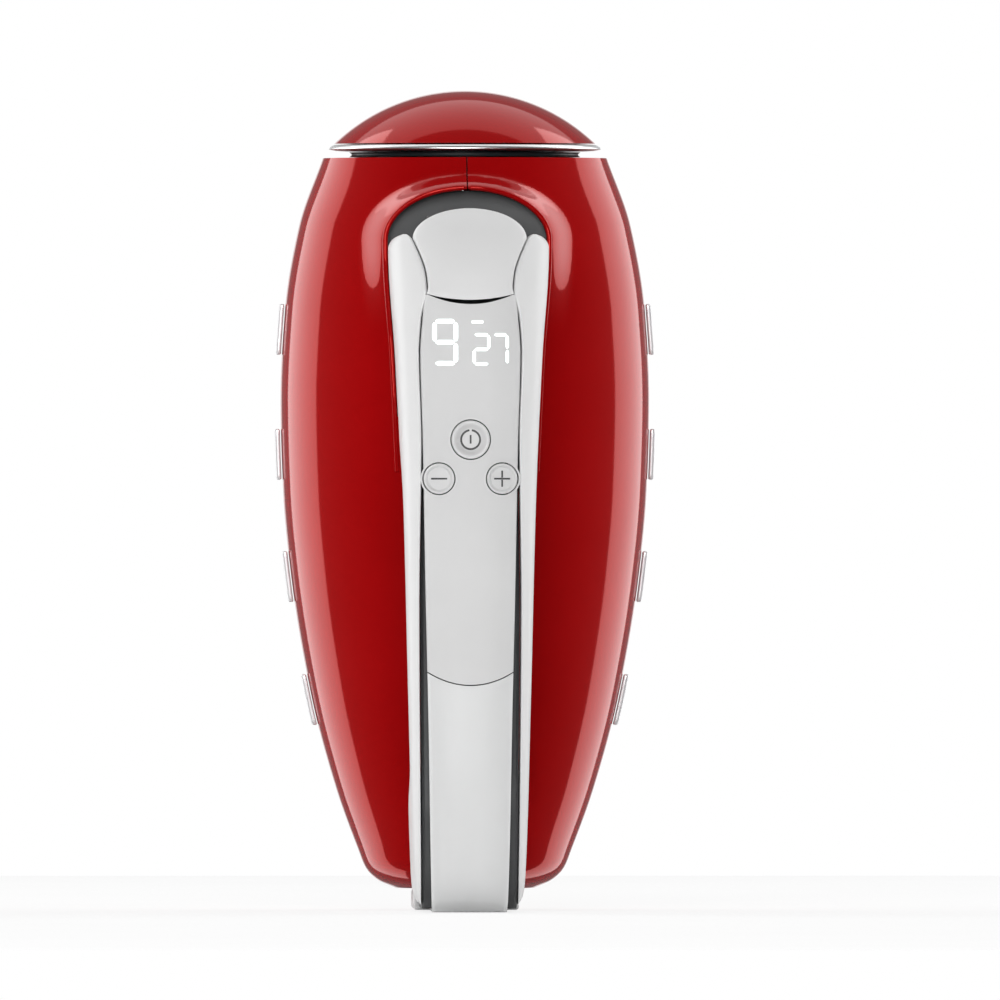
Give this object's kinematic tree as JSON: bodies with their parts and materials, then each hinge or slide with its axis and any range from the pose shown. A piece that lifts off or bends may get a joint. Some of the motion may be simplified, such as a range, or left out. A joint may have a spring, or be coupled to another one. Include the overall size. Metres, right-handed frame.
{
  "type": "hand mixer",
  "caption": "Hand-held food mixer with a teardrop body, loop handle with display and buttons, and beaters that eject; it parks upright on its heel.",
  "frame": {"origin": "on the heel foot's flat face, under the body's axis", "axes": "+Z along the body from heel to nose, -Y towards the handle and display, +Y towards the beaters, +X to the right when facing the display"},
  "size_m": [0.0976, 0.2284, 0.2095],
  "materials": {
    "housing_enamel": "glossy red enamel over moulded plastic",
    "nose_enamel": "glossy red enamel over moulded plastic",
    "chrome_trim": "bright chrome plating",
    "dark_plastic": "satin charcoal moulding",
    "silver_rail": "silver painted plastic, satin gloss",
    "silver_spine": "silver painted plastic, satin gloss",
    "panel_silver": "silver painted plastic, semi-gloss",
    "button_silver": "silver painted plastic with a turned rim",
    "board_green": "solder-masked circuit board",
    "display_glass": "dark display module",
    "switch_black": "black switch moulding",
    "steel": "ground steel",
    "beater_steel": "polished stainless steel",
    "stator_iron": "stacked laminations",
    "copper": "enamelled copper",
    "bronze": "sintered bronze",
    "carbon": "pressed carbon",
    "brass": "pressed brass",
    "nylon": "natural nylon",
    "fan_plastic": "grey moulding",
    "rubber": "black rubber"
  },
  "bodies": {
    "frame": {"chrome_ring": "chrome_trim", "control_board": "board_green", "control_panel": "panel_silver", "cord_inlet": "rubber", "eject_spring": "steel", "front_bearing": "bronze", "gear_case": "nylon", "handle_core": "dark_plastic", "handle_left_rail": "silver_rail", "handle_right_rail": "silver_rail", "handle_spine": "silver_spine", "heel_pad": "rubber", "housing_screw_1": "steel", "housing_screw_2": "steel", "housing_screw_3": "steel", "led_display": "display_glass", "left_bar_1": "chrome_trim", "left_bar_2": "chrome_trim", "left_bar_3": "chrome_trim", "left_bar_4": "chrome_trim", "left_brush": "carbon", "left_brush_holder": "brass", "left_field_coil": "copper", "left_housing": "housing_enamel", "minus_switch": "switch_black", "motor_stator": "stator_iron", "nose_cap": "nose_enamel", "nose_neck": "dark_plastic", "plus_switch": "switch_black", "power_switch": "switch_black", "rear_bearing": "bronze", "rear_bracket": "steel", "right_bar_1": "chrome_trim", "right_bar_2": "chrome_trim", "right_bar_3": "chrome_trim", "right_bar_4": "chrome_trim", "right_brush": "carbon", "right_brush_holder": "brass", "right_field_coil": "copper", "right_housing": "housing_enamel"},
    "motor_shaft": {"drive_shaft": "steel", "motor_rotor": "stator_iron", "commutator": "copper", "cooling_fan": "fan_plastic"},
    "left_drive": {"left_gear": "nylon", "left_spindle": "steel"},
    "right_drive": {"right_gear": "nylon", "right_spindle": "steel"},
    "left_whisk": {"left_beater": "beater_steel", "left_stem": "beater_steel"},
    "right_whisk": {"right_beater": "beater_steel", "right_stem": "beater_steel"},
    "eject_slider": {"eject_button": "silver_rail", "eject_rod": "steel", "ejector_plate": "steel"},
    "power_key": {"power_button": "button_silver"},
    "minus_key": {"minus_button": "button_silver"},
    "plus_key": {"plus_button": "button_silver"}
  },
  "joints": [
    {"name": "motor_spin", "type": "hinge", "parent": "frame", "child": "motor_shaft", "pos_m": [0, 0, 0.095], "axis": [0, 0, 1], "continuous": true},
    {"name": "left_gear_spin", "type": "hinge", "parent": "frame", "child": "left_drive", "pos_m": [-0.021, 0, 0.15], "axis": [0, 1, 0], "continuous": true},
    {"name": "right_gear_spin", "type": "hinge", "parent": "frame", "child": "right_drive", "pos_m": [0.021, 0, 0.15], "axis": [0, 1, 0], "continuous": true},
    {"name": "eject_press", "type": "slide", "parent": "frame", "child": "eject_slider", "axis": [0, 1, 0], "range_m": [0, 0.006], "stiffness_N_per_m": 300, "springref_m": -0.003, "deforming": ["eject_spring"]},
    {"name": "left_beater_release", "type": "slide", "parent": "left_drive", "child": "left_whisk", "axis": [0, 1, 0], "range_m": [0, 0.006]},
    {"name": "right_beater_release", "type": "slide", "parent": "right_drive", "child": "right_whisk", "axis": [0, 1, 0], "range_m": [0, 0.006]},
    {"name": "power_press", "type": "slide", "parent": "frame", "child": "power_key", "axis": [0, 1, 0], "range_m": [0, 0.0006], "stiffness_N_per_m": 600, "springref_m": -0.0005},
    {"name": "minus_press", "type": "slide", "parent": "frame", "child": "minus_key", "axis": [0, 1, 0], "range_m": [0, 0.0006], "stiffness_N_per_m": 600, "springref_m": -0.0005},
    {"name": "plus_press", "type": "slide", "parent": "frame", "child": "plus_key", "axis": [0, 1, 0], "range_m": [0, 0.0006], "stiffness_N_per_m": 600, "springref_m": -0.0005}
  ],
  "couplings": [
    {"joint": "left_gear_spin", "follows": "motor_spin", "ratio": 0.029412},
    {"joint": "right_gear_spin", "follows": "motor_spin", "ratio": -0.029412},
    {"joint": "left_beater_release", "follows": "eject_press", "ratio": 1},
    {"joint": "right_beater_release", "follows": "eject_press", "ratio": 1}
  ]
}
